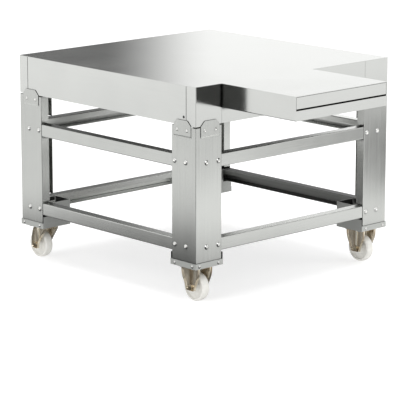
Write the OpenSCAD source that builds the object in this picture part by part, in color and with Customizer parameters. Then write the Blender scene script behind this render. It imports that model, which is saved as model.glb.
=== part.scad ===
// A table that carries an outdoor pizza oven: a bolted stand of folded stainless sheet
// on four castors, with a boxed top and a ledge in front that holds a slide-out crumb tray.
// Millimetres. +X is the right side, +Y the back, +Z up. The origin is on the floor,
// under the middle of the whole table with its ledge.

/* [Stand] */
// Width over the outer faces of the left and right legs
frame_w = 940; // [820:10:1200]
// Depth over the outer faces of the front and back legs
frame_d = 940; // [700:10:1200]
// Height of the foot trays above the floor, which is the height of a castor
castor_h = 128; // [126:1:150]
// Height of the apron's lower edge above the underside of the foot trays
apron_rise = 490; // [450:10:700]
// Height of the apron panels
apron_h = 133; // [110:1:200]

/* [Sheet] */
// Thickness of the stainless sheet
sheet_t = 2; // [1.5:0.25:2.5]
// Outside radius of the folds
bend_r = 3; // [2.75:0.25:5]
// Gap left at the seams between the front panels
seam_gap = 0.8; // [0.3:0.1:1.2]
// Gap left at the seams on the left and right sides
side_seam_gap = 2.4; // [0.3:0.1:3]

/* [Legs] */
// Width of each face of a leg
leg_w = 120; // [115:1:150]
// Width of the flanges turned in at the free edges of a leg
leg_return_w = 34; // [20:1:40]
// Distance from a leg's corner to the slit beside each ear
slit_at = 21; // [16:1:26]
// Width of the slit
slit_w = 1.6; // [1:0.1:3]
// Distance from a leg's corner to the outer end of its ear
ear_end = 107; // [102:1:109]
// Height of an ear above the apron's lower edge
ear_rise = 17; // [12:1:24]
// Depth of the ear's offset line below the apron's lower edge
joggle_drop = 35; // [28:1:45]
// Height over which an ear steps out to clear the apron
joggle_run = 5; // [3:0.5:6]
// Gap between the top of a leg and the apron, on both sides of each ear
leg_top_gap = 5; // [1:0.5:8]

/* [Rails] */
// Height of a rail
rail_h = 44; // [36:1:50]
// Depth of a rail's flanges
rail_depth = 38; // [30:1:40]
// Height of the lip turned down at the inner edge of a rail's top flange
rail_lip = 18; // [10:1:20]
// Height of the lower rails above the underside of the foot trays
lower_rail_z = 50; // [46:1:80]
// Height of the upper rails above the underside of the foot trays
upper_rail_z = 341; // [250:1:380]
// Distance from a leg's corner to the end of a rail's web
rail_end = 32; // [28:1:38]
// Distance from a leg's corner to the end of a rail's flanges
rail_flange_end = 45; // [44:1:48]
// Free height above a rail in the notch of a leg's flange
notch_play = 6; // [3:0.5:10]

/* [Foot trays] */
// Height of a tray's outer lips
tray_lip_h = 20; // [14:1:30]
// Height of a tray's inner walls
tray_wall_h = 92; // [60:1:120]
// Gap between a leg's inner flange and the tray's wall
tray_play = 3; // [1:0.5:6]
// Height of a tray wall where a rail passes over it
tray_notch_h = 44; // [30:1:45]

/* [Fasteners] */
// Diameter of the rail bolts
bolt_d = 8; // [6:0.5:10]
// Diameter of the domed head of a rail bolt
bolt_head_d = 17.5; // [13:0.5:18]
// Height of the domed head of a rail bolt
bolt_head_h = 4.6; // [3:0.1:6]
// Distance from a leg's corner to the near rail bolts
bolt_near = 50; // [48:0.5:54]
// Distance from a leg's corner to the far rail bolts
bolt_far = 105; // [98:0.5:107]
// Diameter of the small screws in the ears and trays
screw_d = 5; // [4:0.5:6]
// Diameter of the domed head of a small screw
screw_head_d = 11.5; // [8:0.5:12]
// Height of the domed head of a small screw
screw_head_h = 2.5; // [1.5:0.1:3.5]
// Distance from a leg's corner to the near ear screws
ear_screw_near = 41; // [36:1:46]
// Distance from a leg's corner to the far ear screws
ear_screw_far = 90; // [80:1:94]
// Depth of the ear screws below the apron's lower edge
ear_screw_drop = 17; // [14:1:22]
// Distance from a leg's corner to the near tray screws
tray_screw_near = 16; // [12:1:24]
// Distance from a leg's corner to the far tray screws
tray_screw_far = 104; // [96:1:108]
// Height of the tray screws above the underside of the tray
tray_screw_z = 9; // [8:0.5:12]
// Extra radius of a hole that a bolt or screw passes through
hole_play = 0.3; // [0.2:0.05:0.6]
// Diameter of the fixing hole in each side panel
side_hole_d = 8; // [5:0.5:12]
// Distance from the leg's corner to the fixing hole
side_hole_at = 59; // [56:1:70]
// Height of the fixing hole above the apron's lower edge
side_hole_rise = 28; // [20:1:60]
// Width and height of the rim of the plug that closes the hole
plug_rim = 1; // [0.5:0.25:2]

/* [Apron and deck] */
// Width of the returns that wrap round from the front and back onto the sides
corner_return_w = 45.5; // [43:0.5:60]
// Width of the front corner panels
corner_front_w = 119; // [112:1:160]
// Width of the lap strip behind a seam
lap_w = 20; // [12:1:24]
// Width of the apron's flange turned in along its lower edge
apron_flange_w = 25; // [15:1:34]
// Width from the start to the end of the tab behind each ear
tab_w = 80; // [72:1:82]
// Depth of the tabs below the apron's lower edge
tab_drop = 31; // [26:1:34]
// Height of the skirt under the deck's edges
skirt_h = 25; // [15:1:40]
// Height of the two bearers under the deck
bearer_h = 60; // [40:1:90]
// Width of the bearers
bearer_w = 40; // [30:1:60]
// Distance of the bearers from the middle of the deck
bearer_at = 160; // [100:10:300]

/* [Front ledge] */
// Width of the ledge
ledge_w = 434; // [300:1:560]
// Distance that the ledge reaches out in front of the apron
ledge_reach = 350; // [250:5:450]
// Height of the ledge
ledge_h = 82; // [78:1:110]
// Height of the lip along the ledge's front
ledge_lip_h = 34; // [24:1:36]
// Depth of the flange at the top of the lip
ledge_lip_w = 14; // [8:1:24]
// Width of the flanges that bolt the ledge to the apron
ledge_flange_w = 24; // [20:1:30]
// Diameter of the bolts that hold the ledge
ledge_bolt_d = 6; // [5:0.5:8]

/* [Crumb tray] */
// Gap under the crumb tray's front
front_gap = 6; // [4:0.5:8]
// Gap at the sides and top of the crumb tray's front
front_play = 1.2; // [0.8:0.1:2]
// Depth of the folds at the edges of the crumb tray's front
front_fold_w = 13; // [8:1:20]
// Gap between the pan and the ledge at each side
pan_side_play = 6; // [4:0.5:10]
// Height of the pan's walls
pan_h = 26; // [18:1:28]
// Distance of the pan's back wall from the apron
pan_back_play = 26; // [20:1:60]
// Width of the runners that the pan slides on
runner_w = 22; // [16:1:30]
// Height of the pan above its runners
slide_play = 0.4; // [0.3:0.1:1]
// How far the crumb tray slides out
pan_travel = 260; // [150:10:280]

/* [Castors] */
// Diameter of the wheels
wheel_d = 100; // [80:1:100]
// Width of the wheels' tread
wheel_w = 32; // [28:1:36]
// Diameter of the wheels' hubs
hub_d = 36; // [30:1:44]
// Diameter of the axle bolts
axle_d = 10; // [8:0.5:12]
// Outside diameter of the bushes that the wheels turn on
bush_d = 15; // [13.5:0.5:20]
// Radial running clearance of a wheel on its bush and of a fork on its kingpin
running_play = 0.08; // [0.05:0.01:0.1]
// Clear width between the two arms of a fork or bracket
fork_gap = 46; // [42:1:50]
// Thickness of the castors' pressed plates
plate_t = 3; // [2.5:0.5:4]
// Length of a castor's top plate from left to right
plate_w = 106; // [100:1:112]
// Length of a castor's top plate from front to back
plate_d = 90; // [84:1:100]
// Spacing of the castor bolts from left to right
plate_bolt_w = 84; // [80:1:88]
// Spacing of the castor bolts from front to back
plate_bolt_d = 60; // [56:1:64]
// Offset of the back wheels behind their swivel axis
swivel_trail = 28; // [12:1:32]
// Diameter of the kingpin
kingpin_d = 12; // [10:1:16]
// Height of the swivel bearing
race_h = 7; // [5:0.5:8]
// Outside diameter of the swivel bearing
race_d = 58; // [48:1:64]

/* [Hidden] */

// Overrun of every cut past the faces that it opens
cut = 1;
// Flats of one quarter turn of a fold
fold_steps = 4;
// Smoothness of the round parts
$fn = 48;

// Sizes of small hardware, each from the fastener that it belongs to
nut_share = 0.85;
nut_flats_share = 1.7;
function nut_h(d) = d * nut_share;
function nut_across(d) = d * nut_flats_share;
function hex_r(d) = nut_across(d) / 2 / cos(30);
function hole_d(d) = d + hole_play + hole_play;

// Levels
foot_z = castor_h;
leg_z = foot_z + sheet_t;
apron_z = foot_z + apron_rise;
leg_top = apron_z - leg_top_gap;
deck_z = apron_z + apron_h;
deck_top = deck_z + sheet_t;
joggle_z = apron_z - joggle_drop;
ear_screw_z = apron_z - ear_screw_drop;
ledge_z = deck_top - ledge_h;

// The square that a foot tray covers, from a leg's corner, and the castor's place in its middle
tray_reach = leg_w + tray_play + sheet_t;
castor_at = (leg_w + tray_play) / 2;

// The furthest that a screw, a bolt or a back wheel stands out behind the legs
proud = max(bolt_head_h, sheet_t + screw_head_h, swivel_trail + wheel_d / 2 - castor_at);
front_y = (ledge_reach - frame_d - proud) / 2;
back_y = front_y + frame_d;
axle_z = wheel_d / 2 - castor_h;

// The tabs lie in the middle of the ears, between the slit and the leg's flange
ear_start = slit_at + slit_w;
tab_start = (ear_start + ear_end - tab_w) / 2;
tab_end = tab_start + tab_w;

// The ledge's own levels, above its underside
ledge_wall_h = ledge_h - sheet_t;
front_z = ledge_lip_h + front_gap;
front_h = ledge_wall_h - front_play - front_z;
runner_z = front_z + front_play;
pan_z = runner_z + sheet_t + slide_play;
pan_x = sheet_t + pan_side_play;
pan_w = ledge_w - 2 * pan_x;
pan_d = ledge_reach - sheet_t - pan_back_play;

// Outlines of folded sheet. A path runs along one face of the sheet, with the
// material on its left, and every corner of it becomes a fold.
function unit(v) = v / norm(v);
function left_of(v) = [-v[1], v[0]];
function turned(v, a) = [v[0] * cos(a) - v[1] * sin(a), v[0] * sin(a) + v[1] * cos(a)];
function inset_corner(a, b, c, t) =
    let (m = left_of(unit(b - a)), n = left_of(unit(c - b)))
    b + t * (m + n) / (1 + m * n);
function inset_path(path, t) =
    let (last = len(path) - 1)
    [for (i = [0 : last])
        i == 0 ? path[0] + t * left_of(unit(path[1] - path[0]))
        : i == last ? path[last] + t * left_of(unit(path[last] - path[last - 1]))
        : inset_corner(path[i - 1], path[i], path[i + 1], t)];
function rounded_corner(a, b, c, r) =
    let (
        u = unit(b - a),
        v = unit(c - b),
        side = sign(u[0] * v[1] - u[1] * v[0]),
        angle = acos(u * v),
        centre = b - u * r * tan(angle / 2) + left_of(u) * side * r
    )
    [for (i = [0 : fold_steps]) centre + turned(-left_of(u) * side * r, side * angle * i / fold_steps)];
function turn_side(a, b, c) = sign((b - a)[0] * (c - b)[1] - (b - a)[1] * (c - b)[0]);
function path_face(path, left_r, right_r) =
    let (last = len(path) - 1)
    [for (i = [0 : last])
        each i == 0 || i == last ? [path[i]]
        : rounded_corner(path[i - 1], path[i], path[i + 1],
            turn_side(path[i - 1], path[i], path[i + 1]) > 0 ? left_r : right_r)];
function backwards(list) = [for (i = [len(list) - 1 : -1 : 0]) list[i]];
function folded_sheet(path) = concat(
    path_face(path, bend_r, bend_r - sheet_t),
    backwards(path_face(inset_path(path, sheet_t), bend_r - sheet_t, bend_r)));
function around(angle) = [cos(angle), sin(angle)];
function arc(centre, r, from, to, steps) =
    [for (i = [0 : steps]) centre + r * around(from + (to - from) * i / steps)];

// Places. Each corner of the stand has its own frame: the leg's corner is at zero,
// X runs along the front or back and Y along the side, both into the table.
module at_corner(side, end) {
    translate([side * frame_w / 2, end > 0 ? back_y : front_y, 0])
        mirror([side > 0 ? 1 : 0, 0, 0])
            mirror([0, end > 0 ? 1 : 0, 0])
                children();
}
module at_every_corner() {
    for (side = [-1, 1], end = [-1, 1])
        at_corner(side, end) children();
}
module on_both_faces() {
    children();
    mirror([1, -1, 0]) children();
}
module along_front(end) {
    at_corner(-1, end) children();
}
module along_side(side) {
    at_corner(side, -1) mirror([1, -1, 0]) children();
}
module at_castor(side, end) {
    translate([side * (frame_w / 2 - castor_at), end > 0 ? back_y - castor_at : front_y + castor_at, foot_z])
        children();
}
module at_ledge() {
    translate([corner_front_w - frame_w / 2, front_y - ledge_reach, ledge_z]) children();
}
// Stands an outline on the face of a leg or panel, t thick, from depth y inwards
module upright(y, t) {
    translate([0, y + t, 0])
        rotate([90, 0, 0])
            linear_extrude(t)
                children();
}
// Runs an outline of depth and height along X
module run_along(x, length) {
    translate([x, 0, 0])
        rotate([90, 0, 90])
            linear_extrude(length)
                children();
}
module face_hole(x, z, d, depth) {
    translate([x, -cut - sheet_t, z])
        rotate([-90, 0, 0])
            cylinder(d = d, h = depth + sheet_t + 2 * cut);
}

// A screw or bolt with a domed head on the face y = 0, pointing into the table
module domed_screw(d, head_d, head_h, length) {
    dome_r = (head_d * head_d / 4 + head_h * head_h) / (2 * head_h);
    dome_angle = asin(head_d / 2 / dome_r);
    rotate([90, 0, 0])
        rotate_extrude()
            polygon(concat(
                [[0, -length], [d / 2, -length], [d / 2, 0]],
                arc([0, head_h - dome_r], dome_r, 90 - dome_angle, 90, fold_steps)));
}
module nut(d, h) {
    rotate([-90, 0, 0])
        difference() {
            cylinder(r = hex_r(d), h = h, $fn = 6);
            translate([0, 0, -cut]) cylinder(d = hole_d(d), h = h + 2 * cut);
        }
}

// Legs
leg_path = [[leg_return_w, leg_w], [0, leg_w], [0, 0], [leg_w, 0], [leg_w, leg_return_w]];

module ear_outline() {
    polygon([
        [ear_start, joggle_z - joggle_run - sheet_t],
        [ear_start, apron_z],
        [ear_start + ear_rise, apron_z + ear_rise],
        [ear_end - ear_rise, apron_z + ear_rise],
        [ear_end, apron_z],
        [ear_end, joggle_z - joggle_run - sheet_t]
    ]);
}
module ear() {
    foot = joggle_z - joggle_run - sheet_t;
    stepped = [
        [0, foot - bend_r],
        [0, joggle_z - joggle_run],
        [-sheet_t, joggle_z],
        [-sheet_t, apron_z + ear_rise + bend_r]
    ];
    intersection() {
        run_along(0, leg_w) polygon(concat(stepped, backwards([for (p = stepped) p + [sheet_t, 0]])));
        upright(-2 * sheet_t, 4 * sheet_t) ear_outline();
    }
}
module ear_window() {
    translate([slit_at, -cut, joggle_z - joggle_run])
        cube([ear_end + slit_w - slit_at, sheet_t + 2 * cut, joggle_drop + joggle_run + cut]);
}
module leg_rail_notch(z) {
    translate([leg_w - bend_r, sheet_t, foot_z + z - slit_w])
        cube([bend_r + cut, leg_return_w, rail_h + notch_play + slit_w]);
}
module leg_holes() {
    for (z = [lower_rail_z, upper_rail_z], x = [bolt_near, bolt_far])
        face_hole(x, foot_z + z + rail_h / 2, hole_d(bolt_d), sheet_t);
    for (x = [ear_screw_near, ear_screw_far])
        face_hole(x, ear_screw_z, hole_d(screw_d), sheet_t);
    for (x = [tray_screw_near, tray_screw_far])
        face_hole(x, foot_z + tray_screw_z, hole_d(screw_d), sheet_t);
}
module leg(side, end) {
    color("lightgray")
        at_corner(side, end)
            difference() {
                union() {
                    difference() {
                        translate([0, 0, leg_z])
                            linear_extrude(leg_top - leg_z)
                                polygon(folded_sheet(leg_path));
                        on_both_faces() ear_window();
                        on_both_faces() leg_rail_notch(lower_rail_z);
                        on_both_faces() leg_rail_notch(upper_rail_z);
                    }
                    on_both_faces() ear();
                }
                on_both_faces() leg_holes();
            }
}

// Foot trays: a plate with low lips outside the leg and tall walls inside it
module tray_wall() {
    difference() {
        translate([tray_reach - sheet_t, 0, foot_z])
            cube([sheet_t, tray_reach, tray_wall_h]);
        translate([tray_reach - sheet_t - cut, -cut, foot_z + tray_notch_h])
            cube([sheet_t + 2 * cut, sheet_t + rail_depth + tray_play + cut, tray_wall_h]);
    }
}
module foot_tray(side, end) {
    color("silver")
        at_corner(side, end)
            difference() {
                union() {
                    translate([-sheet_t, -sheet_t, foot_z])
                        cube([tray_reach + sheet_t, tray_reach + sheet_t, sheet_t]);
                    on_both_faces()
                        translate([-sheet_t, -sheet_t, foot_z])
                            cube([tray_reach + sheet_t, sheet_t, tray_lip_h]);
                    on_both_faces() tray_wall();
                }
                on_both_faces()
                    for (x = [tray_screw_near, tray_screw_far])
                        face_hole(x, foot_z + tray_screw_z, hole_d(screw_d), 0);
                translate([castor_at, castor_at, foot_z - cut])
                    for (x = [-1, 1], y = [-1, 1])
                        translate([x * plate_bolt_w / 2, y * plate_bolt_d / 2, 0])
                            cylinder(d = hole_d(bolt_d), h = sheet_t + 2 * cut);
            }
}

// Rails: channels open to the inside, with a lip turned down from the top flange
rail_path = [[rail_depth, rail_h - rail_lip], [rail_depth, rail_h], [0, rail_h], [0, 0], [rail_depth, 0]];

module rail_bar(span, z) {
    color("gainsboro")
        difference() {
            translate([0, sheet_t, foot_z + z])
                run_along(rail_end, span - 2 * rail_end)
                    polygon(folded_sheet(rail_path));
            for (x = [rail_end - cut, span - rail_flange_end])
                translate([x, sheet_t + bend_r, foot_z + z - cut])
                    cube([rail_flange_end - rail_end + cut, rail_depth, rail_h + 2 * cut]);
            for (x = [bolt_near, bolt_far, span - bolt_far, span - bolt_near])
                face_hole(x, foot_z + z + rail_h / 2, hole_d(bolt_d), 2 * sheet_t);
        }
}
module cross_rail(end, z) {
    along_front(end) rail_bar(frame_w, z);
}
module side_rail(side, z) {
    along_side(side) rail_bar(frame_d, z);
}

// Fasteners of the stand
module rail_bolt_places() {
    at_every_corner()
        on_both_faces()
            for (z = [lower_rail_z, upper_rail_z], x = [bolt_near, bolt_far])
                translate([x, 0, foot_z + z + rail_h / 2])
                    children();
}
module rail_bolts() {
    color("white")
        rail_bolt_places()
            domed_screw(bolt_d, bolt_head_d, bolt_head_h, 2 * sheet_t + nut_h(bolt_d) + hole_play);
}
module rail_nuts() {
    color("darkgray")
        rail_bolt_places()
            translate([0, 2 * sheet_t, 0])
                nut(bolt_d, nut_h(bolt_d));
}
module ear_screw_places() {
    at_every_corner()
        on_both_faces()
            for (x = [ear_screw_near, ear_screw_far])
                translate([x, 0, ear_screw_z])
                    children();
}
module tray_screw_places() {
    at_every_corner()
        on_both_faces()
            for (x = [tray_screw_near, tray_screw_far])
                translate([x, 0, foot_z + tray_screw_z])
                    children();
}
module small_screw() {
    translate([0, -sheet_t, 0])
        domed_screw(screw_d, screw_head_d, screw_head_h, 2 * sheet_t + nut_h(screw_d) + hole_play);
}
module ear_screws() {
    color("white") ear_screw_places() small_screw();
}
module tray_screws() {
    color("white") tray_screw_places() small_screw();
}
module screw_nuts() {
    color("darkgray") {
        ear_screw_places()
            translate([0, sheet_t, 0])
                nut(screw_d, nut_h(screw_d));
        tray_screw_places()
            translate([0, sheet_t, 0])
                nut(screw_d, nut_h(screw_d));
    }
}

// Apron panels
module tab() {
    difference() {
        translate([tab_start, 0, apron_z - tab_drop])
            cube([tab_w, sheet_t, tab_drop]);
        for (x = [ear_screw_near, ear_screw_far])
            face_hole(x, ear_screw_z, hole_d(screw_d), sheet_t);
    }
}
module lower_flange(from, to) {
    translate([from, 0, apron_z])
        cube([to - from, apron_flange_w, sheet_t]);
}
flange_end = leg_w + tray_play;

module corner_panel(side) {
    color("lightgray")
        at_corner(side, -1) {
            translate([0, 0, apron_z])
                linear_extrude(apron_h)
                    polygon(folded_sheet([[0, corner_return_w], [0, 0], [corner_front_w, 0]]));
            tab();
        }
}
module back_panel() {
    returns = [[0, corner_return_w], [0, 0], [frame_w, 0], [frame_w, corner_return_w]];
    color("lightgray")
        along_front(1) {
            translate([0, 0, apron_z])
                linear_extrude(apron_h)
                    polygon(folded_sheet(returns));
            lower_flange(flange_end, frame_w - flange_end);
            tab();
            translate([frame_w, 0, 0]) mirror([1, 0, 0]) tab();
        }
}
module flat_panel(from, to) {
    translate([from, 0, apron_z])
        cube([to - from, sheet_t, apron_h]);
    for (x = [from - lap_w, to - lap_w / 4])
        translate([x, sheet_t, apron_z + sheet_t])
            cube([lap_w + lap_w / 4, sheet_t, apron_h - 2 * sheet_t]);
}
module side_tab() {
    difference() {
        union() {
            translate([tab_start, 0, apron_z - tab_drop])
                cube([tab_w, sheet_t, tab_drop - side_seam_gap]);
            translate([corner_return_w + side_seam_gap, 0, apron_z - tab_drop])
                cube([tab_end - corner_return_w - side_seam_gap, sheet_t, tab_drop]);
        }
        for (x = [ear_screw_near, ear_screw_far])
            face_hole(x, ear_screw_z, hole_d(screw_d), sheet_t);
    }
}
module side_panel(side) {
    seam = corner_return_w + side_seam_gap;
    color("lightgray")
        along_side(side)
            difference() {
                union() {
                    flat_panel(seam, frame_d - seam);
                    lower_flange(flange_end, frame_d - flange_end);
                    side_tab();
                    translate([frame_d, 0, 0]) mirror([1, 0, 0]) side_tab();
                }
                face_hole(side_hole_at, apron_z + side_hole_rise, side_hole_d, 2 * sheet_t);
            }
}
module side_plugs() {
    shank_d = side_hole_d - 2 * hole_play;
    color("black")
        for (side = [-1, 1])
            along_side(side)
                translate([side_hole_at, 0, apron_z + side_hole_rise])
                    domed_screw(shank_d, side_hole_d + 2 * plug_rim, plug_rim, 2 * sheet_t);
}
ledge_bolt_low_share = 0.2;
ledge_bolt_clear_share = 1.2;
function ledge_bolt_xs() = [sheet_t + ledge_flange_w / 2, ledge_w - sheet_t - ledge_flange_w / 2];
function ledge_bolt_zs() = [
    ledge_wall_h * ledge_bolt_low_share,
    ledge_wall_h - skirt_h - ledge_bolt_d * ledge_bolt_clear_share
];

module front_panel() {
    seam = corner_front_w + seam_gap;
    color("lightgray")
        along_front(-1)
            difference() {
                union() {
                    flat_panel(seam, frame_w - seam);
                    lower_flange(flange_end + seam_gap, frame_w - flange_end - seam_gap);
                }
                for (x = ledge_bolt_xs(), z = ledge_bolt_zs())
                    face_hole(corner_front_w + x, ledge_z + z, hole_d(ledge_bolt_d), 2 * sheet_t);
            }
}

// Deck
skirt_in = 2 * sheet_t;

module deck() {
    inner_w = frame_w - 2 * skirt_in;
    inner_d = frame_d - 2 * skirt_in;
    color("gainsboro")
        along_front(-1)
            union() {
                translate([0, 0, deck_z]) cube([frame_w, frame_d, sheet_t]);
                translate([skirt_in, skirt_in, deck_z - skirt_h])
                    difference() {
                        cube([inner_w, inner_d, skirt_h]);
                        translate([sheet_t, sheet_t, -cut])
                            cube([inner_w - 2 * sheet_t, inner_d - 2 * sheet_t, skirt_h + cut]);
                    }
            }
}
module bearer(side) {
    ends = skirt_in + sheet_t;
    profile = [[bearer_w, bearer_h], [0, bearer_h], [0, 0], [bearer_w, 0]];
    color("darkgray")
        translate([side * bearer_at, front_y + ends, deck_z - bearer_h])
            mirror([side < 0 ? 1 : 0, 0, 0])
                mirror([1, -1, 0])
                    run_along(0, frame_d - 2 * ends)
                        polygon(folded_sheet(profile));
}

// Front ledge
module ledge_shell() {
    walls = [[0, ledge_wall_h], [0, 0], [ledge_w, 0], [ledge_w, ledge_wall_h]];
    color("gainsboro")
        at_ledge()
            difference() {
                union() {
                    translate([0, ledge_reach, 0])
                        rotate([90, 0, 0])
                            linear_extrude(ledge_reach)
                                polygon(folded_sheet(walls));
                    translate([sheet_t, 0, 0])
                        cube([ledge_w - 2 * sheet_t, sheet_t, ledge_lip_h]);
                    translate([sheet_t, 0, ledge_lip_h - sheet_t])
                        cube([ledge_w - 2 * sheet_t, ledge_lip_w, sheet_t]);
                    for (x = [sheet_t, ledge_w - sheet_t - ledge_flange_w])
                        translate([x, ledge_reach - sheet_t, 0])
                            cube([ledge_flange_w, sheet_t, ledge_wall_h]);
                }
                for (x = ledge_bolt_xs(), z = ledge_bolt_zs())
                    translate([0, ledge_reach, 0])
                        face_hole(x, z, hole_d(ledge_bolt_d), 0);
            }
}
module ledge_top() {
    color("gainsboro")
        at_ledge()
            translate([0, 0, ledge_wall_h])
                cube([ledge_w, ledge_reach, sheet_t]);
}
module ledge_bolts() {
    head_d = nut_across(ledge_bolt_d);
    head_h = ledge_bolt_d / 2;
    color("white")
        at_ledge()
            for (x = ledge_bolt_xs(), z = ledge_bolt_zs())
                translate([x, ledge_reach - sheet_t, z]) {
                    domed_screw(ledge_bolt_d, head_d, head_h, 2 * sheet_t + sheet_t + nut_h(ledge_bolt_d));
                    translate([0, x > ledge_w / 2 ? 2 * sheet_t : 3 * sheet_t, 0])
                        nut(ledge_bolt_d, nut_h(ledge_bolt_d));
                }
}
module tray_runners() {
    start = front_fold_w + front_play;
    length = ledge_reach - start - front_fold_w;
    runner_top = runner_z + sheet_t;
    angle = [[runner_w, runner_top], [0, runner_top], [0, runner_top - runner_w]];
    color("darkgray")
        at_ledge()
            for (far = [0, 1])
                translate([far * ledge_w, start, 0])
                    mirror([far, 0, 0])
                        translate([sheet_t, length, 0])
                            rotate([90, 0, 0])
                                linear_extrude(length)
                                    polygon(folded_sheet(angle));
}

// Crumb tray
module crumb_pan() {
    color("silver")
        at_ledge()
            translate([pan_x, sheet_t, pan_z])
                difference() {
                    cube([pan_w, pan_d, pan_h]);
                    translate([sheet_t, sheet_t, sheet_t])
                        cube([pan_w - 2 * sheet_t, pan_d - 2 * sheet_t, pan_h]);
                }
}
module crumb_front() {
    side = sheet_t + front_play;
    w = ledge_w - 2 * side;
    color("gainsboro")
        at_ledge()
            translate([side, 0, front_z])
                difference() {
                    cube([w, front_fold_w, front_h]);
                    translate([sheet_t, sheet_t, -cut])
                        cube([w - 2 * sheet_t, front_fold_w, front_h + 2 * cut]);
                }
}

// Castors. Each is drawn about its own axis, with the underside of the foot tray at
// zero: the wheel rolls from front to back and its axle runs from left to right.
arm_flange_w = 8;
arm_rib_w = 14;
arm_rib_t = 3;
arm_foot = 10;
bracket_top = 42;
bracket_knee_shares = [0.95, 0.42];
bracket_heel_shares = [0.56, 0.8];
bracket_foot_share = 0.44;

module plate_holes() {
    for (x = [-1, 1], y = [-1, 1])
        translate([x * plate_bolt_w / 2, y * plate_bolt_d / 2, -plate_t - cut])
            cylinder(d = hole_d(bolt_d), h = plate_t + 2 * cut);
}
module top_plate() {
    difference() {
        translate([-plate_w / 2, -plate_d / 2, -plate_t])
            cube([plate_w, plate_d, plate_t]);
        plate_holes();
    }
}
// An arm's outline of front-to-back place and height, narrower by inset all round its sides
function bracket_outline(inset) =
    let (
        toe_z = axle_z - arm_foot,
        drop = toe_z + plate_t,
        half = [
            [bracket_top, -plate_t / 2],
            [bracket_top * bracket_knee_shares[0], drop * bracket_knee_shares[1]],
            [bracket_top * bracket_heel_shares[0], drop * bracket_heel_shares[1]],
            [bracket_top * bracket_foot_share, toe_z - (inset > 0 ? cut : 0)]
        ]
    )
    concat([for (p = half) [p[0] - inset, p[1]]], backwards([for (p = half) [inset - p[0], p[1]]]));

function fork_outline(inset) =
    let (
        r = hex_r(axle_d) + plate_t + 2 * slide_play,
        crown_z = -plate_t - race_h - slide_play,
        crown = race_d / 2
    )
    concat(
        [[-crown + inset, crown_z], [-crown + inset, crown_z - 2 * plate_t]],
        arc([swivel_trail, axle_z], r - inset, 180, 360, 2 * fold_steps),
        [[swivel_trail + r - inset, axle_z + 2 * r]],
        [[crown + swivel_trail / 4 - inset, crown_z - 4 * plate_t], [crown - inset, crown_z]]);

// Both arms: a plate with flanges turned out along its sides, and a rib down the middle
module arms(outline, inner, rib_y, rib_top) {
    for (side = [-1, 1])
        mirror([side < 0 ? 1 : 0, 0, 0])
            translate([fork_gap / 2, 0, 0]) {
                difference() {
                    rotate([90, 0, 90]) linear_extrude(plate_t + arm_flange_w) polygon(outline);
                    translate([plate_t, 0, 0])
                        rotate([90, 0, 90]) linear_extrude(arm_flange_w + cut) polygon(inner);
                }
                translate([0, rib_y - arm_rib_w / 2, axle_z + axle_d])
                    cube([plate_t + arm_rib_t, arm_rib_w, rib_top - axle_z - axle_d]);
            }
}
module axle_hole(y) {
    translate([-fork_gap / 2 - plate_t - arm_flange_w - cut, y, axle_z])
        rotate([0, 90, 0])
            cylinder(d = hole_d(axle_d), h = fork_gap + 2 * (plate_t + arm_flange_w + cut));
}
module fixed_bracket(side) {
    color("tan")
        at_castor(side, -1)
            difference() {
                union() {
                    top_plate();
                    arms(bracket_outline(0), bracket_outline(plate_t), 0, -plate_t / 2);
                }
                axle_hole(0);
            }
}
module swivel_plate(side) {
    color("tan") at_castor(side, 1) top_plate();
}
module swivel_race(side) {
    color("darkkhaki")
        at_castor(side, 1)
            translate([0, 0, -plate_t - race_h])
                difference() {
                    cylinder(d = race_d, h = race_h);
                    translate([0, 0, -cut]) cylinder(d = 2 * kingpin_d, h = race_h + 2 * cut);
                }
}
module kingpin(side) {
    crown_low = -plate_t - race_h - slide_play - plate_t;
    head_z = crown_low - slide_play;
    color("dimgray")
        at_castor(side, 1) {
            translate([0, 0, head_z]) cylinder(d = kingpin_d, h = -plate_t - head_z);
            translate([0, 0, head_z - plate_t]) cylinder(d = 2 * kingpin_d, h = plate_t);
        }
}
module swivel_fork(side) {
    crown_z = -plate_t - race_h - slide_play;
    color("tan")
        at_castor(side, 1)
            difference() {
                union() {
                    translate([0, 0, crown_z - plate_t])
                        intersection() {
                            cylinder(d = race_d + 2 * plate_t, h = plate_t);
                            translate([-fork_gap / 2 - plate_t, -race_d, 0])
                                cube([fork_gap + 2 * plate_t, 2 * race_d, plate_t]);
                        }
                    arms(fork_outline(0), fork_outline(plate_t), swivel_trail / 2, crown_z - plate_t / 2);
                }
                axle_hole(swivel_trail);
                translate([0, 0, crown_z - plate_t - cut])
                    cylinder(r = kingpin_d / 2 + running_play, h = plate_t + 2 * cut);
            }
}

// Wheels
rim_t = 9;
web_w = 14;
tread_r = 7;
hub_w = fork_gap - 2 * slide_play;

function wheel_half() =
    let (r = wheel_d / 2, rim = r - rim_t, hub = hub_d / 2)
    concat(
        [[bush_d / 2 + running_play, 0], [bush_d / 2 + running_play, hub_w / 2]],
        [[hub - sheet_t, hub_w / 2], [hub, hub_w / 2 - sheet_t], [hub, web_w / 2]],
        [[rim, web_w / 2], [rim + sheet_t, wheel_w / 2 - sheet_t / 2]],
        arc([r - tread_r, wheel_w / 2 - tread_r], tread_r, 90, 0, 2 * fold_steps),
        [[r, 0]]);

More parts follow.
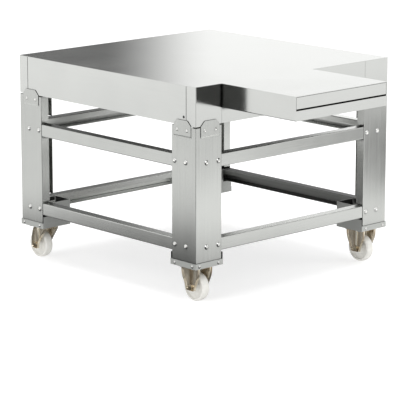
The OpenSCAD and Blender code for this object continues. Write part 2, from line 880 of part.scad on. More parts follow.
module wheel(side, end, y) {
    half = wheel_half();
    color("whitesmoke")
        at_castor(side, end)
            translate([0, y, axle_z])
                rotate([0, 90, 0])
                    rotate_extrude()
                        polygon(concat(half, backwards([for (p = half) if (p[1] > 0) [p[0], -p[1]]])));
}
module bush(side, end, y) {
    color("slategray")
        at_castor(side, end)
            translate([-fork_gap / 2, y, axle_z])
                rotate([0, 90, 0])
                    difference() {
                        cylinder(d = bush_d, h = fork_gap);
                        translate([0, 0, -cut]) cylinder(d = hole_d(axle_d), h = fork_gap + 2 * cut);
                    }
}
module axle(side, end, y) {
    seat = fork_gap / 2 + plate_t;
    head_h = 2 * plate_t;
    color("gray")
        at_castor(side, end)
            translate([-seat, y, axle_z])
                rotate([0, 90, 0]) {
                    translate([0, 0, -head_h])
                        cylinder(r = hex_r(axle_d), h = head_h, $fn = 6);
                    cylinder(d = axle_d, h = 2 * seat + nut_h(axle_d));
                    translate([0, 0, 2 * seat])
                        difference() {
                            cylinder(r = hex_r(axle_d), h = nut_h(axle_d) - hole_play, $fn = 6);
                            translate([0, 0, -cut]) cylinder(d = hole_d(axle_d), h = nut_h(axle_d) + 2 * cut);
                        }
                }
}
module castor_bolts() {
    head_h = bolt_d / 2;
    color("silver")
        for (side = [-1, 1], end = [-1, 1])
            at_castor(side, end)
                for (x = [-1, 1], y = [-1, 1])
                    translate([x * plate_bolt_w / 2, y * plate_bolt_d / 2, -plate_t]) {
                        translate([0, 0, -head_h])
                            cylinder(r = hex_r(bolt_d), h = head_h, $fn = 6);
                        cylinder(d = bolt_d, h = plate_t + sheet_t + nut_h(bolt_d));
                        translate([0, 0, plate_t + sheet_t])
                            rotate([90, 0, 0])
                                nut(bolt_d, nut_h(bolt_d) - hole_play);
                    }
}

leg(-1, -1);  // leg_front_left
leg(1, -1);  // leg_front_right
leg(-1, 1);  // leg_back_left
leg(1, 1);  // leg_back_right
foot_tray(-1, -1);  // foot_tray_front_left
foot_tray(1, -1);  // foot_tray_front_right
foot_tray(-1, 1);  // foot_tray_back_left
foot_tray(1, 1);  // foot_tray_back_right
cross_rail(-1, upper_rail_z);  // upper_rail_front
cross_rail(1, upper_rail_z);  // upper_rail_back
side_rail(-1, upper_rail_z);  // upper_rail_left
side_rail(1, upper_rail_z);  // upper_rail_right
cross_rail(-1, lower_rail_z);  // lower_rail_front
cross_rail(1, lower_rail_z);  // lower_rail_back
side_rail(-1, lower_rail_z);  // lower_rail_left
side_rail(1, lower_rail_z);  // lower_rail_right
rail_bolts();
rail_nuts();
ear_screws();
tray_screws();
screw_nuts();
side_panel(-1);  // side_panel_left
side_panel(1);  // side_panel_right
side_plugs();
corner_panel(-1);  // corner_panel_left
corner_panel(1);  // corner_panel_right
front_panel();
back_panel();
deck();
bearer(-1);  // bearer_left
bearer(1);  // bearer_right
ledge_shell();
ledge_top();
ledge_bolts();
tray_runners();
crumb_pan();
crumb_front();
fixed_bracket(-1);  // bracket_front_left
fixed_bracket(1);  // bracket_front_right
swivel_plate(-1);  // swivel_plate_left
swivel_plate(1);  // swivel_plate_right
swivel_race(-1);  // swivel_race_left
swivel_race(1);  // swivel_race_right
kingpin(-1);  // kingpin_left
kingpin(1);  // kingpin_right
swivel_fork(-1);  // fork_back_left
swivel_fork(1);  // fork_back_right
wheel(-1, -1, 0);  // wheel_front_left
wheel(1, -1, 0);  // wheel_front_right
wheel(-1, 1, swivel_trail);  // wheel_back_left
wheel(1, 1, swivel_trail);  // wheel_back_right
bush(-1, -1, 0);  // bush_front_left
bush(1, -1, 0);  // bush_front_right
bush(-1, 1, swivel_trail);  // bush_back_left
bush(1, 1, swivel_trail);  // bush_back_right
axle(-1, -1, 0);  // axle_front_left
axle(1, -1, 0);  // axle_front_right
axle(-1, 1, swivel_trail);  // axle_back_left
axle(1, 1, swivel_trail);  // axle_back_right
castor_bolts();
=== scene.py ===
import math

import bmesh
import bpy
from mathutils import Matrix, Vector


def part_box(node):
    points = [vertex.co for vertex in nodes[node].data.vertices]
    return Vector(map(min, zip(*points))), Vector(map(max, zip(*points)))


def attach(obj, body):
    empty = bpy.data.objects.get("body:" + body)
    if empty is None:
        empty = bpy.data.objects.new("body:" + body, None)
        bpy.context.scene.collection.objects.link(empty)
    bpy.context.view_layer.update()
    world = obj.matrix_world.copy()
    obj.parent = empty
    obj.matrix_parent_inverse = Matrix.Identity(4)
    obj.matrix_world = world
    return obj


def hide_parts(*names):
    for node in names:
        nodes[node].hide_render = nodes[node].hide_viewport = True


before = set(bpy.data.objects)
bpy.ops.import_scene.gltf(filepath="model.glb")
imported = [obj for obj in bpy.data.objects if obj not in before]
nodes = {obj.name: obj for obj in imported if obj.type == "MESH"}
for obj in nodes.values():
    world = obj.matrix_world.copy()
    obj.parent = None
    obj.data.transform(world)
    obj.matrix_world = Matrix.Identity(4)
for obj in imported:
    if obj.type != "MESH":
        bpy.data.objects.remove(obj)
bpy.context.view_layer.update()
scene = bpy.context.scene

# The table's own sizes, in metres, as the parts were drawn
frame_w = 0.940
frame_d = 0.940
castor_h = 0.128
sheet_t = 0.002
front_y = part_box("leg_front_left")[0][1] + sheet_t
back_y = front_y + frame_d
middle_y = (front_y + back_y) / 2
apron_z = castor_h + 0.490
rail_zs = (castor_h + 0.050, castor_h + 0.341)
rail_h = 0.044
tray_lip_z = castor_h + 0.020
tray_wall_z = castor_h + 0.092

# Directions
up = (0, 0, 1)
down = (0, 0, -1)
away = (0.68, 0.73, 0)
to_camera = (-0.68, -0.73, 0)
rightward = (0.73, -0.68, 0)


# The camera, at the photograph's viewing angle

camera_turn = math.radians(-42.771)
camera_rise = math.radians(12.710)
camera_from_foot = (0.01449, 0.23723, 7.6023)
camera_lens = 202.71


def add_camera():
    """Placed from the near leg's foot by a distance to the right, up and back."""
    sine, cosine = math.sin(camera_turn), math.cos(camera_turn)
    right = Vector((cosine, sine, 0))
    back = Vector((sine * math.cos(camera_rise), -cosine * math.cos(camera_rise), math.sin(camera_rise)))
    axes = (right, back.cross(right), back)
    place = Vector((-frame_w / 2, front_y, castor_h))
    for axis, distance in zip(axes, camera_from_foot):
        place += axis * distance
    camera = bpy.data.objects.new("camera", bpy.data.cameras.new("camera"))
    camera.data.lens = camera_lens
    camera.data.sensor_width = 36
    camera.data.clip_end = 60
    camera.matrix_world = Matrix.Translation(place) @ Matrix(axes).transposed().to_4x4()
    scene.collection.objects.link(camera)
    scene.camera = camera


# Shader helpers

def fed(tree, sockets, values):
    """Gives each socket its value: a number, a vector or another node's output."""
    for socket, value in zip(sockets, values):
        if isinstance(value, bpy.types.NodeSocket):
            tree.links.new(value, socket)
        elif value is not None:
            socket.default_value = value


def math_node(tree, operation, first, second=None):
    made = tree.nodes.new("ShaderNodeMath")
    made.operation = operation
    fed(tree, made.inputs, (first, second))
    return made.outputs[0]


def vector_node(tree, operation, first, second=None):
    made = tree.nodes.new("ShaderNodeVectorMath")
    made.operation = operation
    fed(tree, made.inputs, (first, second))
    return made.outputs


def object_place(tree):
    return tree.nodes.new("ShaderNodeTexCoord").outputs["Object"]


def along(tree, vector, direction):
    return vector_node(tree, "DOT_PRODUCT", vector, direction)["Value"]


def ranged(tree, value, low, high, start=0.3, end=0.7, interpolation="LINEAR"):
    spread = tree.nodes.new("ShaderNodeMapRange")
    spread.interpolation_type = interpolation
    sockets = [spread.inputs[name] for name in ("Value", "From Min", "From Max", "To Min", "To Max")]
    fed(tree, sockets, (value, start, end, low, high))
    return spread.outputs["Result"]


def eased(tree, value, start, end):
    """A smooth step from 0 at the start to 1 at the end."""
    return ranged(tree, value, 0.0, 1.0, start, end, "SMOOTHSTEP")


def mixed(tree, weight, low, high):
    mix = tree.nodes.new("ShaderNodeMix")
    fed(tree, [mix.inputs[name] for name in ("Factor", "A", "B")], (weight, low, high))
    return mix.outputs["Result"]


def blended(tree, value, dark, light):
    ramp = tree.nodes.new("ShaderNodeValToRGB")
    for element, position, colour in zip(ramp.color_ramp.elements, (0.3, 0.7), (dark, light)):
        element.position = position
        element.color = (*colour, 1)
    tree.links.new(value, ramp.inputs["Fac"])
    return ramp.outputs["Color"]


def stretched_noise(tree, stretch, detail):
    scaled = tree.nodes.new("ShaderNodeMapping")
    fed(tree, (scaled.inputs["Vector"], scaled.inputs["Scale"]), (object_place(tree), stretch))
    noise = tree.nodes.new("ShaderNodeTexNoise")
    sockets = [noise.inputs[name] for name in ("Vector", "Scale", "Detail", "Roughness")]
    fed(tree, sockets, (scaled.outputs["Vector"], 1.0, detail, 0.6))
    return noise.outputs["Fac"]


def bumped(tree, shader, value, distance):
    bump = tree.nodes.new("ShaderNodeBump")
    fed(tree, [bump.inputs[name] for name in ("Strength", "Distance", "Height")], (1.0, distance, value))
    tree.links.new(bump.outputs["Normal"], shader.inputs["Normal"])


# Where a finish, painted light and painted shade apply, as a weight from 0 to 1

def facing_share(tree, direction, start, end):
    """1 on faces that look along the direction, 0 on the others."""
    normal = tree.nodes.new("ShaderNodeNewGeometry").outputs["Normal"]
    return eased(tree, along(tree, normal, direction), start, end)


def cut_edges(tree):
    """1 on the level edges of upright sheets."""
    return math_node(tree, "ADD", facing_share(tree, up, 0.55, 0.65), facing_share(tree, down, 0.55, 0.65))


def pressed_steps(tree):
    """1 on the slanted step under each ear, which leans a little downwards."""
    return facing_share(tree, down, 0.2, 0.3)


def undersides(tree):
    return facing_share(tree, down, 0.5, 0.7)


def tops(tree):
    return facing_share(tree, up, 0.5, 0.7)


def insides(tree):
    """1 on faces that look to the middle of the stand, on lower folds and on level edges."""
    normal = tree.nodes.new("ShaderNodeNewGeometry").outputs["Normal"]
    from_middle = vector_node(tree, "SUBTRACT", object_place(tree), (0, middle_y, 0))["Vector"]
    outward = vector_node(tree, "MULTIPLY", from_middle, (1, 1, 0))["Vector"]
    turned_in = eased(tree, along(tree, normal, outward), 0.01, -0.01)
    folds = facing_share(tree, down, 0.25, 0.5)
    return math_node(tree, "MAXIMUM", turned_in, math_node(tree, "MAXIMUM", folds, cut_edges(tree)))


def height_share(tree, start, end):
    """0 at the start height and 1 at the end height."""
    return eased(tree, along(tree, object_place(tree), up), start, end)


def tray_wall_inner_sides(tree):
    """1 on the sides of the tall tray walls that face the legs, above the low lips."""
    above_lips = height_share(tree, tray_lip_z + 0.001, tray_lip_z + 0.004)
    return math_node(tree, "MULTIPLY", above_lips, mixed(tree, insides(tree), 1.0, 0.0))


def leg_feet(tree):
    """1 on the legs' inner faces that stand behind the tall tray walls."""
    below_walls = height_share(tree, tray_wall_z + 0.008, tray_wall_z)
    return math_node(tree, "MULTIPLY", below_walls, insides(tree))


def painted_crevice_shade(tree, reach):
    """Painted shade for the base colour: near 0 deep in a seam or a corner, 1 on a free face."""
    hollow = tree.nodes.new("ShaderNodeAmbientOcclusion")
    hollow.samples = 6
    hollow.inputs["Distance"].default_value = reach
    return ranged(tree, hollow.outputs["AO"], 0.03, 1.0, 0.55, 0.9)


# Materials

def new_material(name, metallic, roughness):
    material = bpy.data.materials.new(name)
    material.use_nodes = True
    shader = material.node_tree.nodes["Principled BSDF"]
    shader.inputs["Metallic"].default_value = metallic
    shader.inputs["Roughness"].default_value = roughness
    return material, material.node_tree, shader


def brushed_steel(name, stretch, dark, light, rough=(0.17, 0.27), faces_with_painted_tone=(), metallic=1.0, reach=0.014):
    """Brushed sheet whose base colour carries painted shade in seams and corners. Its other faces, given by
    weight, each have a roughness of their own and a level of painted light or shade.
    """
    material, tree, shader = new_material(name, metallic, sum(rough) / 2)
    grain = stretched_noise(tree, stretch, 3.0)
    cloud = stretched_noise(tree, (5, 5, 5), 2.0)
    finish = math_node(tree, "MULTIPLY", math_node(tree, "ADD", grain, cloud), 0.5)
    roughness = ranged(tree, finish, *rough)
    # The base colour is scaled by painted light and shade: shade in seams and corners, then each weighted
    # face's painted highlight and shade.
    share = painted_crevice_shade(tree, reach)
    for faces, painted_tone, other_rough in faces_with_painted_tone:
        weight = faces(tree)
        roughness = mixed(tree, weight, roughness, other_rough)
        share = math_node(tree, "MULTIPLY", share, mixed(tree, weight, 1.0, painted_tone))
    shaded = tree.nodes.new("ShaderNodeVectorMath")
    shaded.operation = "SCALE"
    fed(tree, (shaded.inputs["Vector"], shaded.inputs["Scale"]), (blended(tree, finish, dark, light), share))
    tree.links.new(shaded.outputs["Vector"], shader.inputs["Base Color"])
    tree.links.new(roughness, shader.inputs["Roughness"])
    bumped(tree, shader, grain, 0.00004)
    return material


def mottled(name, metallic, dark, light, stretch, rough):
    material, tree, shader = new_material(name, metallic, sum(rough) / 2)
    patches = stretched_noise(tree, stretch, 1.5)
    tree.links.new(blended(tree, patches, dark, light), shader.inputs["Base Color"])
    tree.links.new(ranged(tree, patches, *rough), shader.inputs["Roughness"])
    bumped(tree, shader, stretched_noise(tree, (900, 900, 900), 2.0), 0.00003)
    return material


# Painted highlight on the slanted steps under the ears, painted shade on the legs' inner faces behind the
# tray walls, and darker level cut edges, partly the cut edges' own dark colour and partly painted shade.
upright_steel = brushed_steel(
    "steel_brushed_upright", (420, 420, 3), (0.55, 0.56, 0.54), (0.65, 0.66, 0.635),
    faces_with_painted_tone=[(pressed_steps, 1.5, 0.5), (cut_edges, 0.25, 0.4), (leg_feet, 0.12, 0.6)])
# Painted highlight: the up-facing faces are lighter.
level_steel = brushed_steel(
    "steel_brushed_level", (6, 6, 700), (0.58, 0.59, 0.57), (0.68, 0.69, 0.665),
    faces_with_painted_tone=[(tops, 1.15, 0.26)], reach=0.003)
# The level steel again with painted shade: darker tops and inner faces.
shaded_steel = brushed_steel(
    "steel_shaded_rail", (6, 6, 700), (0.58, 0.59, 0.57), (0.68, 0.69, 0.665),
    faces_with_painted_tone=[(tops, 0.28, 0.4), (insides, 0.5, 0.4)], reach=0.003)
# Inner faces darker, partly the sheet's duller inner side and partly painted shade; the tray walls' inner
# sides carry painted shade.
tray_steel = brushed_steel(
    "steel_foot_trays", (8, 8, 500), (0.46, 0.47, 0.45), (0.56, 0.57, 0.55), (0.36, 0.46),
    faces_with_painted_tone=[(insides, 0.8, 0.4), (tray_wall_inner_sides, 0.2, 0.6)], metallic=0.65, reach=0.008)
# Inner faces darker, partly the sheet's duller inner side and partly painted shade.
panel_steel = brushed_steel(
    "steel_brushed_panel", (6, 6, 700), (0.70, 0.71, 0.69), (0.76, 0.77, 0.745), (0.10, 0.16),
    faces_with_painted_tone=[(insides, 0.2, 0.5)])
# Undersides darker, partly a duller underside and partly painted shade.
deck_steel = brushed_steel(
    "steel_brushed_deck", (6, 700, 700), (0.68, 0.69, 0.67), (0.74, 0.75, 0.725),
    faces_with_painted_tone=[(undersides, 0.2, 0.5)])
inner_steel = brushed_steel(
    "steel_inner", (6, 500, 500), (0.44, 0.45, 0.44), (0.56, 0.57, 0.55), (0.35, 0.5))
screw_steel = mottled(
    "screw_steel", 1.0, (0.80, 0.80, 0.78), (0.90, 0.90, 0.88), (300, 300, 300), (0.12, 0.20))
nut_steel = mottled(
    "nut_steel", 1.0, (0.42, 0.42, 0.40), (0.58, 0.58, 0.56), (300, 300, 300), (0.28, 0.42))
axle_steel = mottled(
    "axle_steel", 1.0, (0.34, 0.28, 0.19), (0.52, 0.46, 0.35), (200, 200, 200), (0.3, 0.42))
zinc_yellow = mottled(
    "zinc_yellow", 0.85, (0.40, 0.31, 0.20), (0.96, 0.90, 0.76), (85, 85, 4), (0.18, 0.26))
nylon = mottled(
    "nylon_white", 0.0, (0.67, 0.66, 0.62), (0.74, 0.73, 0.69), (70, 70, 70), (0.38, 0.5))
black_plastic = mottled(
    "black_plastic", 0.0, (0.012, 0.012, 0.012), (0.022, 0.022, 0.022), (400, 400, 400), (0.4, 0.55))

# Each node takes the finish of the longest start of its name
finishes = {
    "leg_": upright_steel,
    "foot_tray": tray_steel,
    "upper_rail": level_steel,
    "lower_rail": level_steel,
    # The right lower rail takes the copy with painted shade.
    "lower_rail_right": shaded_steel,
    "side_panel": panel_steel,
    "side_plugs": black_plastic,
    "corner_panel": panel_steel,
    "front_panel": panel_steel,
    "back_panel": panel_steel,
    "deck": deck_steel,
    "bearer": inner_steel,
    "tray_runners": inner_steel,
    "ledge_shell": panel_steel,
    "ledge_top": deck_steel,
    "ledge_bolts": screw_steel,
    "crumb_pan": inner_steel,
    "crumb_front": panel_steel,
    "rail_bolts": screw_steel,
    "rail_nuts": nut_steel,
    "ear_screws": screw_steel,
    "tray_screws": screw_steel,
    "screw_nuts": nut_steel,
    "bracket": zinc_yellow,
    "swivel": zinc_yellow,
    "fork": zinc_yellow,
    "kingpin": axle_steel,
    "axle": axle_steel,
    "bush": nut_steel,
    "castor_bolts": nut_steel,
    "wheel": nylon,
}


def finish_nodes():
    for name, part in nodes.items():
        starts = [start for start in finishes if name.startswith(start)]
        if starts:
            part.data.materials.clear()
            part.data.materials.append(finishes[max(starts, key=len)])


# Making pieces

merged_under = 0.000002


def finished_piece(name, shape, material, body, replaced, smooth_under=35):
    bmesh.ops.remove_doubles(shape, verts=shape.verts, dist=merged_under)
    bmesh.ops.recalc_face_normals(shape, faces=shape.faces)
    mesh = bpy.data.meshes.new(name)
    shape.to_mesh(mesh)
    shape.free()
    mesh.materials.append(material)
    mesh.shade_smooth()
    mesh.set_sharp_from_angle(angle=math.radians(smooth_under))
    made = bpy.data.objects.new(name, mesh)
    scene.collection.objects.link(made)
    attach(made, body)
    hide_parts(*replaced)


def placed(shape, place):
    bmesh.ops.transform(shape, matrix=place, verts=shape.verts)
    return shape


def join_into(whole, part, place=Matrix.Identity(4)):
    placed(part, place)
    if place.determinant() < 0:
        bmesh.ops.reverse_faces(part, faces=part.faces)
    mesh = bpy.data.meshes.new("part")
    part.to_mesh(mesh)
    part.free()
    whole.from_mesh(mesh)
    bpy.data.meshes.remove(mesh)


def copies_of(template, places):
    """One shape with a copy of the template at each place."""
    whole = bmesh.new()
    for place in places:
        join_into(whole, template.copy(), place)
    template.free()
    return whole


def rounded_corners(shape, corners, radii, segments):
    for corner, radius in zip(corners, radii):
        if radius:
            bmesh.ops.bevel(shape, geom=[corner], offset=radius, segments=segments, profile=0.5,
                            affect="VERTICES", offset_type="OFFSET", material=-1)


def softened_edges(shape, width, segments=2):
    """Rounds every edge that is sharper than 30 degrees."""
    bmesh.ops.recalc_face_normals(shape, faces=shape.faces)
    sharp = [edge for edge in shape.edges
             if len(edge.link_faces) == 2 and edge.calc_face_angle(0) > math.radians(30)]
    bmesh.ops.bevel(shape, geom=sharp, offset=width, segments=segments, profile=0.5, affect="EDGES",
                    clamp_overlap=True, material=-1)


def turned(points, radii, steps=64):
    """A shape turned about Z from an outline of (radius, height) with rounded corners."""
    shape = bmesh.new()
    corners = [shape.verts.new((across, 0, height)) for across, height in points]
    for first, second in zip(corners, corners[1:]):
        shape.edges.new((first, second))
    rounded_corners(shape, corners, radii, 3)
    bmesh.ops.spin(shape, geom=list(shape.verts) + list(shape.edges), cent=(0, 0, 0), axis=up,
                   angle=math.tau, steps=steps, use_merge=True)
    bmesh.ops.remove_doubles(shape, verts=shape.verts, dist=merged_under)
    return shape


def faces_of(grown):
    return [part for part in grown if isinstance(part, bmesh.types.BMFace)]


def edges_of(grown):
    return [part for part in grown if isinstance(part, bmesh.types.BMEdge)]


def verts_of(grown):
    return [part for part in grown if isinstance(part, bmesh.types.BMVert)]


# Screws

def facing(place, outward):
    return Matrix.Translation(place) @ Vector(outward).to_track_quat("Z", "Y").to_matrix().to_4x4()


def face_places(distances, heights, proud):
    """The same spots on both outer faces of every leg."""
    found = []
    for side in (-1, 1):
        for end, corner_y in ((-1, front_y), (1, back_y)):
            for height in heights:
                for distance in distances:
                    on_end = (side * (frame_w / 2 - distance), corner_y + end * proud, height)
                    on_side = (side * (frame_w / 2 + proud), corner_y - end * distance, height)
                    found.append(facing(on_end, (0, end, 0)))
                    found.append(facing(on_side, (side, 0, 0)))
    return found


def six_sided(vert, width):
    """Moves a vertex level onto a six-sided outline of that width over its flats."""
    turn = math.atan2(vert.co.y, vert.co.x) % (math.pi / 3) - math.pi / 6
    vert.co.xy = vert.co.xy.normalized() * (width / 2 / math.cos(turn))


def button_screw(head_d, head_h, socket, shank_d, length):
    """A domed screw with a six-sided socket, its head's seat at zero and its shank down -Z."""
    shape = bmesh.new()
    dome_r = (head_d ** 2 / 4 + head_h ** 2) / (2 * head_h)
    dome_z = head_h - dome_r
    socket_r = socket / 2 / math.cos(math.pi / 6)
    ring = bmesh.ops.create_circle(shape, segments=24, radius=shank_d / 2)["verts"]
    bmesh.ops.translate(shape, verts=ring, vec=(0, 0, -length))
    edges = list(shape.edges)
    bmesh.ops.contextual_create(shape, geom=edges)
    rings = [(shank_d / 2, 0.0), (head_d / 2 - 0.0003, 0.0), (head_d / 2, 0.0002)]
    lowest = math.acos(head_d / 2 / dome_r)
    highest = math.acos(socket_r * 1.12 / dome_r)
    for step in range(1, 7):
        rise = lowest + (highest - lowest) * step / 6
        rings.append((dome_r * math.cos(rise), dome_z + dome_r * math.sin(rise)))
    radius, height = shank_d / 2, -length
    for new_radius, new_height in rings:
        grown = bmesh.ops.extrude_edge_only(shape, edges=edges)["geom"]
        edges = edges_of(grown)
        wider = new_radius / radius
        bmesh.ops.scale(shape, vec=(wider, wider, 1), verts=verts_of(grown))
        bmesh.ops.translate(shape, vec=(0, 0, new_height - height), verts=verts_of(grown))
        radius, height = new_radius, new_height
    for depth in (0.0, head_h * 0.62):
        grown = bmesh.ops.extrude_edge_only(shape, edges=edges)["geom"]
        edges = edges_of(grown)
        for vert in verts_of(grown):
            six_sided(vert, socket)
            vert.co.z -= depth
    bmesh.ops.contextual_create(shape, geom=edges)
    bmesh.ops.recalc_face_normals(shape, faces=shape.faces)
    return shape


# Head width and height, socket width, shank width and length
rail_bolt = (0.0175, 0.0046, 0.005, 0.008, 0.0111)
sheet_screw = (0.0115, 0.0025, 0.003, 0.005, 0.00855)


def add_screws():
    """Each kind with its size, its distances from the leg's corner, its heights and how proud it stands."""
    for kind, sizes, distances, heights, proud, node in (
            ("rail", rail_bolt, (0.050, 0.105), [z + rail_h / 2 for z in rail_zs], 0, "rail_bolts"),
            ("ear", sheet_screw, (0.041, 0.090), [apron_z - 0.017], sheet_t, "ear_screws"),
            ("tray", sheet_screw, (0.016, 0.104), [castor_h + 0.009], sheet_t, "tray_screws")):
        shape = copies_of(button_screw(*sizes), face_places(distances, heights, proud))
        finished_piece(kind + "_button_screws", shape, screw_steel, "stand", [node])


# Wheels

castor_in = 0.0615
axle_z = 0.050
axle_drop = axle_z - castor_h
trail = 0.028
castors = {
    "front_left": (-1, front_y + castor_in, 0.0, "wheel_fl"),
    "front_right": (1, front_y + castor_in, 0.0, "wheel_fr"),
    "back_left": (-1, back_y - castor_in, trail, "wheel_bl"),
    "back_right": (1, back_y - castor_in, trail, "wheel_br"),
}
wheel_r = 0.0500
rim_r = 0.0412
hub_r = 0.0180
bore_r = 0.0076
hub_half = 0.0226
web_half = 0.0080
rim_half = 0.0160
tread_half = 0.0095


def wheel_shape():
    """A wheel about Z. One half of its section is drawn as (radius, height) and mirrored."""
    half = [(bore_r, hub_half), (hub_r - 0.0022, hub_half), (hub_r, hub_half - 0.0022),
            (hub_r + 0.0004, web_half), (rim_r - 0.0020, web_half - 0.0006), (rim_r, rim_half - 0.0032),
            (rim_r + 0.0010, rim_half - 0.0004), (rim_r + 0.0024, rim_half),
            (wheel_r - 0.0020, tread_half + 0.0047), (wheel_r, tread_half)]
    radii = [0, 0.0008, 0.0012, 0.0035, 0.0040, 0, 0.0006, 0.0010, 0.0030, 0.0030]
    mirrored = [(across, -height) for across, height in reversed(half)]
    return turned(half + mirrored + half[:1], radii + radii[::-1] + [0], steps=96)


def add_wheels():
    for name, (side, y, back, body) in castors.items():
        hub = Matrix.Translation((side * (frame_w / 2 - castor_in), y + back, axle_z))
        shape = placed(wheel_shape(), hub @ Matrix.Rotation(math.pi / 2, 4, "Y"))
        finished_piece("wheel_turned_" + name, shape, nylon, body, ["wheel_" + name],
                       smooth_under=40)


# Castors

plate_t = 0.003
plate_w = 0.106
plate_d = 0.090
plate_corner_r = 0.007
fork_half = 0.023
arm_depth = 0.011
hex_w = 0.017


def thick_outline(points, radii, segments, thickness):
    """A plate in the YZ plane with rounded corners, grown from x = 0, and its outer face."""
    shape = bmesh.new()
    corners = [shape.verts.new((0, y, z)) for y, z in points]
    shape.faces.new(corners)
    rounded_corners(shape, corners, radii, segments)
    grown = bmesh.ops.extrude_face_region(shape, geom=list(shape.faces), use_keep_orig=True)["geom"]
    bmesh.ops.translate(shape, vec=(thickness, 0, 0), verts=verts_of(grown))
    return shape, faces_of(grown)[0]


def pressed_arm(points, radii, rib_y, rib_low, rib_high):
    """An arm with a turned-out edge and a raised rib, its inner face at x = 0 and its outside towards +X."""
    shape, outer = thick_outline(points, radii, 4, arm_depth)
    bmesh.ops.inset_region(shape, faces=[outer], thickness=plate_t, depth=0, use_even_offset=True)
    bmesh.ops.translate(shape, vec=(plate_t - arm_depth, 0, 0), verts=list(outer.verts))
    softened_edges(shape, 0.0007)
    rib = bmesh.new()
    bmesh.ops.create_cube(rib, size=1)
    bmesh.ops.scale(rib, vec=(0.008, 0.014, rib_high - rib_low), verts=rib.verts)
    bmesh.ops.translate(rib, vec=(plate_t - 0.001, rib_y, (rib_high + rib_low) / 2), verts=rib.verts)
    softened_edges(rib, 0.0028, 4)
    join_into(shape, rib)
    return shape


def both_arms(whole, points, radii, rib):
    outward = Matrix.Translation((fork_half, 0, 0))
    join_into(whole, pressed_arm(points, radii, *rib), outward)
    join_into(whole, pressed_arm(points, radii, *rib), Matrix.Scale(-1, 4, (1, 0, 0)) @ outward)


def top_plate():
    """A level plate with round corners, its top at zero."""
    across, deep = plate_w / 2, plate_d / 2
    points = [(-across, -deep), (across, -deep), (across, deep), (-across, deep)]
    shape, outer = thick_outline(points, [plate_corner_r] * 4, 5, plate_t)
    softened_edges(shape, 0.0006)
    placed(shape, Matrix.Rotation(math.pi / 2, 4, "Z") @ Matrix.Rotation(math.pi / 2, 4, "Y"))
    return shape


def fixed_bracket():
    """A top plate and two arms that taper to the axle."""
    shape = top_plate()
    low = axle_drop - 0.010
    far_side = [(0.0185, low), (0.0235, -0.068), (0.0399, -0.0357), (0.042, -0.0015)]
    near_side = [(-y, z) for y, z in reversed(far_side)]
    radii = [0, 0.012, 0.020, 0.007, 0.007, 0.020, 0.012, 0]
    both_arms(shape, near_side + far_side, radii, (0, axle_drop + 0.012, -0.002))
    return shape


def swivel_top():
    """Top plate with the upper cup of the ball race and the fixed ring under it."""
    shape = top_plate()
    cup = [(0.0120, -0.0030), (0.0270, -0.0030), (0.0285, -0.0048), (0.0290, -0.0068), (0.0270, -0.0088),
           (0.0262, -0.0100), (0.0120, -0.0100), (0.0120, -0.0030)]
    join_into(shape, turned(cup, [0, 0.0008, 0.0012, 0.0012, 0.0006, 0.0004, 0, 0]))
    return shape


def swivel_fork():
    """The turning crown and two arms that lean back to the trailing axle."""
    crown_z = -0.0104
    crown = [(0.0061, crown_z), (0.0250, crown_z), (0.0310, crown_z - 0.0020), (0.0310, crown_z - 0.0030),
             (0.0061, crown_z - 0.0030), (0.0061, crown_z)]
    shape = turned(crown, [0, 0.0015, 0.0008, 0.0003, 0, 0])
    foot_r = 0.0136
    points = [(-0.029, crown_z - 0.0004), (-0.029, crown_z - 0.006), (trail - foot_r, axle_drop + 0.002),
              (trail - foot_r, axle_drop - foot_r), (trail + foot_r, axle_drop - foot_r),
              (trail + foot_r, axle_drop + 0.027), (0.036, crown_z - 0.012), (0.029, crown_z - 0.0004)]
    radii = [0, 0.004, 0.018, foot_r * 0.95, foot_r * 0.95, 0.014, 0.008, 0]
    both_arms(shape, points, radii, (trail / 2, axle_drop + 0.018, crown_z - 0.0015))
    return shape


def hex_end(height):
    """A bolt's head or nut about Z, its seat at zero."""
    shape = bmesh.new()
    radius = hex_w / 2 / math.cos(math.pi / 6)
    bmesh.ops.create_cone(shape, cap_ends=True, segments=6, radius1=radius, radius2=radius, depth=height)
    bmesh.ops.translate(shape, vec=(0, 0, height / 2), verts=shape.verts)
    softened_edges(shape, 0.0007)
    return shape


def axle_bolt():
    """The bolt along Z from its head at the bottom to its nut at the top, centred on the wheel."""
    seat = fork_half + plate_t
    head_h, nut_h, shank_r = 0.006, 0.0082, 0.005
    shape = placed(hex_end(head_h), Matrix.Translation((0, 0, -seat - head_h)))
    shank = [(0, -seat - 0.001), (shank_r, -seat - 0.001), (shank_r, seat + 0.0085),
             (shank_r - 0.0008, seat + 0.0100), (0, seat + 0.0100)]
    join_into(shape, turned(shank, [0] * 5, steps=32))
    join_into(shape, hex_end(nut_h), Matrix.Translation((0, 0, seat)))
    return shape


def add_castors():
    for name, (side, y, back, _) in castors.items():
        top = Matrix.Translation((side * (frame_w / 2 - castor_in), y, castor_h))
        hub = top @ Matrix.Translation((0, back, axle_drop)) @ Matrix.Rotation(math.pi / 2, 4, "Y")
        hand = name.split("_")[1]
        carrier = "fork_" + hand[0] if back else "stand"
        finished_piece("axle_bolt_" + name, placed(axle_bolt(), hub), axle_steel, carrier,
                       ["axle_" + name])
        if back:
            finished_piece("swivel_top_" + hand, placed(swivel_top(), top), zinc_yellow, "stand",
                           ["swivel_plate_" + hand, "swivel_race_" + hand])
            finished_piece("swivel_fork_" + hand, placed(swivel_fork(), top), zinc_yellow, carrier,
                           ["fork_" + name])
        else:
            finished_piece("pressed_bracket_" + hand, placed(fixed_bracket(), top), zinc_yellow, "stand",
                           ["bracket_" + name])


# The studio

lamps_aim = Vector((0, 0, 0.4))


